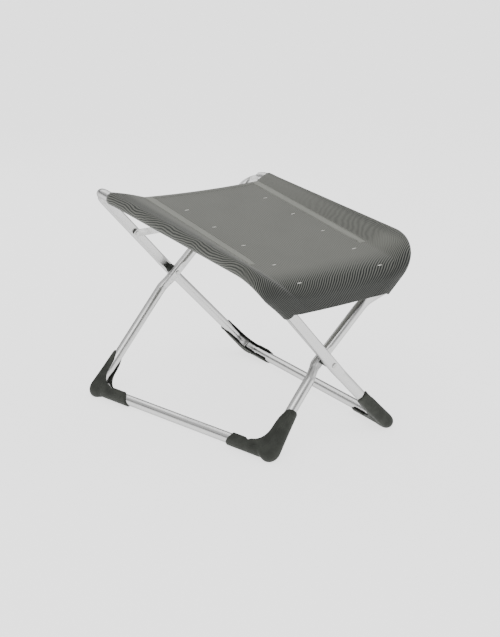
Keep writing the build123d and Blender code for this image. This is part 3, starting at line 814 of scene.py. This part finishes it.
ROW_STATIONS = np.concatenate([np.linspace(-1, 0, TOP_ROWS), np.linspace(0, 1, NOSE_ROWS)[1:]])
ROWS = [row_at(t) for t in ROW_STATIONS]
SEAM_COLUMNS = ROWS[0][1:]
CLOTH_GRID = np.array([points for points, _, _ in ROWS])
ACROSS = np.array([across_of(points, *SEAM_COLUMNS) for points, _, _ in ROWS])
ALONG = np.where(ROW_STATIONS <= 0, ROW_STATIONS * TOP_LENGTH, ROW_STATIONS * NOSE_LENGTH)


def weave_along(grid):
    """Distance along each column of the cloth, in step with the axis where the nose starts."""
    steps = np.linalg.norm(np.diff(grid, axis=0), axis=-1)
    far = np.concatenate([np.zeros((1, grid.shape[1])), np.cumsum(steps, axis=0)])
    zero = int(np.argmin(np.abs(ROW_STATIONS)))
    at_zero = NOSE_START - (grid[zero] - pivot) @ axis_dir
    return far - far[zero] + at_zero


WEAVE_ALONG = weave_along(CLOTH_GRID)


def grid_normals(grid):
    along = np.gradient(grid, axis=0)
    across = np.gradient(grid, axis=1)
    return unit(np.cross(across, -along))


CLOTH_NORMALS = grid_normals(CLOTH_GRID)
if CLOTH_NORMALS[30, CLOTH_GRID.shape[1] // 2] @ axis_normal < 0:
    CLOTH_NORMALS = -CLOTH_NORMALS


def on_cloth(along, across, lift=0.0):
    """Points on the cloth at distances along it (0 where the nose starts) and across it."""
    along, across = np.broadcast_arrays(np.asarray(along, float), np.asarray(across, float))
    shape = along.shape
    result = np.zeros((along.size, 3))
    row = np.interp(along.ravel(), ALONG, np.arange(len(ALONG)))
    for k, (r, a) in enumerate(zip(row, across.ravel())):
        low = min(int(r), len(ALONG) - 2)
        share = r - low
        line = ACROSS[low] * (1 - share) + ACROSS[low + 1] * share
        points = CLOTH_GRID[low] * (1 - share) + CLOTH_GRID[low + 1] * share
        normals = CLOTH_NORMALS[low] * (1 - share) + CLOTH_NORMALS[low + 1] * share
        at = np.array([np.interp(a, line, points[:, i]) for i in range(3)])
        out = np.array([np.interp(a, line, normals[:, i]) for i in range(3)])
        result[k] = at + unit(out) * lift
    return result.reshape(shape + (3,))


HANG_FROM = radians(40.0)  # past this lean round the pivot axis, a point's share goes wholly to one loop


def blend_across_fold(piece):
    """Works out each point's share between the loops from its angle round the pivot axis, then puts every
    point back where it was, so the piece is left as it was.
    """
    mesh = piece.data
    points = np.array([v.co for v in mesh.vertices])
    from_axis = points - pivot * MM
    angle = np.arctan2(from_axis @ X_DIR, from_axis @ axis_normal)
    share = np.clip(angle / HANG_FROM, -1, 1) / 2 + 0.5
    level = 0.5 - np.sin(np.arcsin(1 - 2 * share) / 3)
    laid_out = np.zeros_like(points)
    laid_out[:, 0] = level
    mesh.vertices.foreach_set("co", laid_out.ravel())
    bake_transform(piece)
    mesh.vertices.foreach_set("co", points.ravel())
    mesh.update()


HEM_WIDTH = 13.0
REAR_HEM = 0.9  # how much thicker the cloth is there
FRONT_HEM = 0.25


def rib_counts():
    """For each cloth vertex, how many ribs of the nose and how many pocket lines lie before it."""
    x = CLOTH_GRID[..., 0] - pivot[0]
    down = WEAVE_ALONG
    curl = 22.0 * np.exp(-np.clip(down + 10, 0, None) / 20.0) * ease((x - 40) / 130)
    at = x + 0.80 * np.clip(down, -60, None) + 0.5 * np.clip(down, -60, 18) - curl
    nose = at * (0.1818 - 0.000160 * at)
    far = np.abs(ACROSS)
    sway = 1.1 * np.sin(down / 37.0 + 0.6) + 0.7 * np.sin(down / 17.0 + far / 21.0)
    pocket = far / 4.4 + down / 52.0 + sway * ease((far - SEAM_X) / 30)
    return np.stack([nose.ravel(), pocket.ravel()], axis=1)


def make_sling():
    edge = np.minimum(ALONG + TOP_LENGTH, ALONG[-1] - ALONG)
    thickness = CLOTH + np.where(ALONG < 0, REAR_HEM, FRONT_HEM) * (1 - ease((edge - HEM_WIDTH) / 1.5))
    half = (thickness / 2)[:, None, None]
    vertices, faces = sheet_solid(CLOTH_GRID + CLOTH_NORMALS * half, CLOTH_GRID - CLOTH_NORMALS * half)
    uvs = np.stack([ACROSS.ravel(), WEAVE_ALONG.ravel()], axis=1)
    ribs = rib_counts()
    piece = new_piece("sling", vertices, faces, np.concatenate([uvs, uvs]), np.concatenate([ribs, ribs]))
    fix_normals(piece)
    finish_piece(piece, mesh_cloth,
                 replaces=["seat_panel", "nose_lining", "pocket_left", "pocket_right"])
    blend_across_fold(piece)
    return piece


RIM_SHARE = 0.25
STRIP_SINK = 0.4  # how far a strip's underside lies inside the cloth


def strip(along, across, lift, thickness):
    """A thin strip on the cloth between grids of positions, as (vertices, faces, uvs).

    Its rim stands at a quarter of its thickness.
    """
    along, across = np.broadcast_arrays(along, across)
    raised = np.full(across.shape, lift + thickness)
    raised[:, 0] = raised[:, -1] = lift + RIM_SHARE * thickness
    raised[0, :] = raised[-1, :] = lift + RIM_SHARE * thickness
    top = np.stack([on_cloth(along[i], across[i], 0) for i in range(len(along))])
    high = np.stack([on_cloth(along[i], across[i], 1) for i in range(len(along))])
    out = high - top
    vertices, faces = sheet_solid(top + out * raised[..., None], top + out * (lift - STRIP_SINK))
    uvs = np.stack([across.ravel(), along.ravel()], axis=1)
    return vertices, faces, np.concatenate([uvs, uvs])


BAND_WIDTH = 20.0
BAND_THICKNESS = 0.9
BAND_OUTER_EDGE = 4.5  # past the seam, towards the tube
BAND_END = 60.0  # the bands stop this far before the nose


def seam_across(side, along):
    column = SEAM_COLUMNS[0] if side < 0 else SEAM_COLUMNS[1]
    return np.interp(along, ALONG, ACROSS[:, column])


def band_line(side, along):
    """How much of its width a band keeps at each distance along it, and where its middle runs."""
    narrowing = 1 - 0.35 * ease((along + BAND_END + 26) / 26)
    middle = BAND_OUTER_EDGE - BAND_WIDTH / 2
    return narrowing, seam_across(side, along) + side * middle


def make_bands():
    bands = []
    along = np.linspace(-TOP_LENGTH + 1.0, -BAND_END, 70)
    for name, side in (("left", -1), ("right", 1)):
        narrowing, centre = band_line(side, along)
        spread = np.linspace(-0.5, 0.5, 13)[None, :] * BAND_WIDTH * narrowing[:, None]
        shape = strip(along[:, None] + 0 * spread, centre[:, None] + spread, CLOTH / 2, BAND_THICKNESS)
        piece = new_piece(f"seam_strip_{name}", *shape)
        fix_normals(piece)
        finish_piece(piece, band_cloth, replaces=[f"seam_band_{name}"])
        blend_across_fold(piece)
        bands.append(piece)
    return bands


STITCH = 2.4
STITCH_PITCH = 3.4
STITCH_R = 0.32
HEM_STITCH_REACH = 120.0  # the rear hem's row, to either side of the middle


def stitch(start, end, out):
    """One stitch: a short arched thread between two points, thick along out."""
    start, end, out = map(np.asarray, (start, end, out))
    run = end - start
    side = unit(np.cross(run, out))
    ring = np.linspace(0, 2 * pi, 7)[:-1]
    rows = []
    for share, size in ((0, 0.35), (0.2, 0.9), (0.5, 1.0), (0.8, 0.9), (1, 0.35)):
        centre = start + run * share + out * (STITCH_R * 1.2 * sin(pi * share))
        rows.append(centre + STITCH_R * size * (np.cos(ring)[:, None] * side + np.sin(ring)[:, None] * out))
    vertices = np.concatenate(rows)
    faces = grid_faces(5, 6, wrap=True) + [list(range(6)), list(range(24, 30))[::-1]]
    return vertices, faces, np.zeros((len(vertices), 2))


def stitch_row(line, lift):
    """Stitches along a line of (along, across) points on the cloth."""
    far = lengths_along(line)
    shapes = []
    for start in np.arange(1.0, far[-1] - STITCH, STITCH_PITCH):
        ends = [[np.interp(s, far, line[:, i]) for i in (0, 1)] for s in (start, start + STITCH)]
        a, b = (on_cloth(p[0], p[1], lift) for p in ends)
        out = unit(on_cloth(ends[0][0], ends[0][1], lift + 1) - a)
        shapes.append(stitch(a, b, out))
    return shapes


def make_stitches():
    shapes = []
    along = np.linspace(-TOP_LENGTH + 3, -BAND_END - 4, 50)
    for side in (-1, 1):
        narrowing, centre = band_line(side, along)
        for edge in (-1, 1):
            across = centre + edge * (BAND_WIDTH / 2 - 1.5) * narrowing
            shapes += stitch_row(np.stack([along, across], axis=1), CLOTH / 2 + BAND_THICKNESS + 0.05)
    rear_hem = np.full(60, -TOP_LENGTH + HEM_WIDTH - 2.5)
    across = np.linspace(-HEM_STITCH_REACH, HEM_STITCH_REACH, 60)
    shapes += stitch_row(np.stack([rear_hem, across], axis=1), (CLOTH + REAR_HEM) / 2)
    piece = new_piece("seam_stitches", *merge(shapes))
    fix_normals(piece)
    finish_piece(piece, seam_thread)
    blend_across_fold(piece)
    return piece


TACK_X = 90.0
TACK_LENGTH = 8.0
TACK_WIDTH = 1.4
TACK_STATIONS = (72.7, -7.8, -89.4, -170.4)  # along the pivot axis
NOSE_TACK = 17.0  # along the cloth, past the start of the nose
TACK_THREADS = 10


def tack_stitch(start, end, middle, raised):
    """A thread between two (along, across) points, raised above the cloth's face at middle."""
    lift = CLOTH / 2 + raised
    out = unit(on_cloth(*middle, lift + 1) - on_cloth(*middle, lift))
    return stitch(on_cloth(*start, lift), on_cloth(*end, lift), out)


def make_tacks():
    """Short plain bar tacks that hold the cloth's two layers together, in two rows."""
    shapes = []
    places = [NOSE_START - station for station in TACK_STATIONS] + [NOSE_TACK]
    for side in (-1, 1):
        for far in places:
            for k in np.linspace(-0.5, 0.5, TACK_THREADS):
                across = side * TACK_X + k * TACK_LENGTH
                low, high = far - TACK_WIDTH / 2, far + TACK_WIDTH / 2
                shapes.append(tack_stitch((low, across - 0.2), (high, across + 0.2), (far, across), 0.25))
            for edge in (-0.3, 0.3):
                row = far + edge * TACK_WIDTH
                left, right = side * TACK_X - TACK_LENGTH / 2, side * TACK_X + TACK_LENGTH / 2
                shapes.append(tack_stitch((row, left), (row, right), (far, side * TACK_X), 0.1))
    piece = new_piece("bar_tacks", *merge(shapes))
    fix_normals(piece)
    finish_piece(piece, tack_thread)
    blend_across_fold(piece)
    return piece


# --- CAD nodes that stay, with better finishes ------------------------------------------------------
def dress_cad_nodes():
    finishes = {
        "pivot_rivet": rivet_steel, "pivot_washers": rivet_steel, "pivot_bush": hardware_plastic,
        "brace_link": plated_steel, "brace_spacer": hardware_plastic, "brace_rivet": rivet_steel,
        "brace_mid_rivet": rivet_steel,
        "outer_spigot_rivets": rivet_steel, "inner_spigot_rivets": rivet_steel,
        "outer_spigot": aluminium, "inner_spigot": aluminium, "boot_rivet": rivet_steel,
    }
    for name, node in frame["nodes"].items():
        key = max((k for k in finishes if k in name), key=len, default=None)
        if key:
            for slot in node.material_slots:
                slot.material = finishes[key]


# --- stage ----------------------------------------------------------------------------------------
CAMERA_AZIMUTH = radians(38.99)
CAMERA_ELEVATION = radians(17.24)
CAMERA_AT = (-1.1906, -1.4787, 0.7585)
SENSOR = 36.0
LENS = 61.213  # millimetres, on that sensor


FLOOR_TONE = 0.50
FLOOR_GLOW = 1.75
SKY_STRENGTH = 2.2
# brightness of the sky at heights from the nadir, 0, to the zenith, 1
SKY_STOPS = [(0.0, 0.86), (0.12, 0.62), (0.22, 0.16), (0.36, 0.12), (0.48, 0.40), (1.0, 0.58)]


def make_camera():
    camera = bpy.data.objects.new("camera", bpy.data.cameras.new("camera"))
    bpy.context.collection.objects.link(camera)
    forward = Vector((sin(CAMERA_AZIMUTH) * cos(CAMERA_ELEVATION),
                      cos(CAMERA_AZIMUTH) * cos(CAMERA_ELEVATION), -sin(CAMERA_ELEVATION)))
    camera.location = CAMERA_AT
    camera.rotation_mode = "QUATERNION"
    camera.rotation_quaternion = forward.to_track_quat("-Z", "Y")
    camera.data.sensor_width = SENSOR
    camera.data.lens = LENS
    camera.data.clip_start, camera.data.clip_end = 0.05, 500
    bpy.context.scene.camera = camera


def area_light(name, at, size, power, target=(0, 0, 0.2)):
    data = bpy.data.lights.new(name, "AREA")
    data.shape, data.size, data.size_y, data.energy = "RECTANGLE", size[0], size[1], power
    lamp = bpy.data.objects.new(name, data)
    bpy.context.collection.objects.link(lamp)
    lamp.location = at
    lamp.rotation_mode = "QUATERNION"
    lamp.rotation_quaternion = (Vector(target) - Vector(at)).to_track_quat("-Z", "Y")


def make_stage():
    bpy.ops.mesh.primitive_plane_add(size=400)
    floor = bpy.context.object
    floor.name = "floor"
    nodes = Nodes("pale floor")
    nodes.set(Base_Color=(FLOOR_TONE,) * 3 + (1,), Roughness=0.9, Specular_IOR_Level=0.0,
              Emission_Color=(1, 1, 1, 1), Emission_Strength=FLOOR_GLOW)
    floor.data.materials.append(nodes.material)
    world = bpy.data.worlds.new("studio")
    bpy.context.scene.world = world
    world.use_nodes = True
    tree = world.node_tree
    sky = tree.nodes["Background"]
    where = tree.nodes.new("ShaderNodeTexCoord")
    split = tree.nodes.new("ShaderNodeSeparateXYZ")
    ramp = tree.nodes.new("ShaderNodeValToRGB")
    tree.links.new(where.outputs["Generated"], split.inputs[0])
    tree.links.new(split.outputs[2], ramp.inputs[0])
    tree.links.new(ramp.outputs[0], sky.inputs[0])
    elements = ramp.color_ramp.elements
    elements[0].position, elements[1].position = SKY_STOPS[0][0], SKY_STOPS[-1][0]
    for at, _ in SKY_STOPS[1:-1]:
        elements.new(at)
    for element, (_, value) in zip(elements, SKY_STOPS):
        element.color = (value, value, value, 1)
    sky.inputs[1].default_value = SKY_STRENGTH
    area_light("key", (-1.6, -1.2, 2.6), (2.2, 2.2), 34)
    area_light("fill", (2.2, -1.8, 1.8), (2.0, 2.0), 14)
    area_light("back", (0.4, 2.4, 2.2), (2.4, 1.6), 22)


make_camera()
make_tubes()
make_boots()
sling = make_sling()
bands = make_bands()
stitches = make_stitches()
tacks = make_tacks()
dress_cad_nodes()
make_stage()
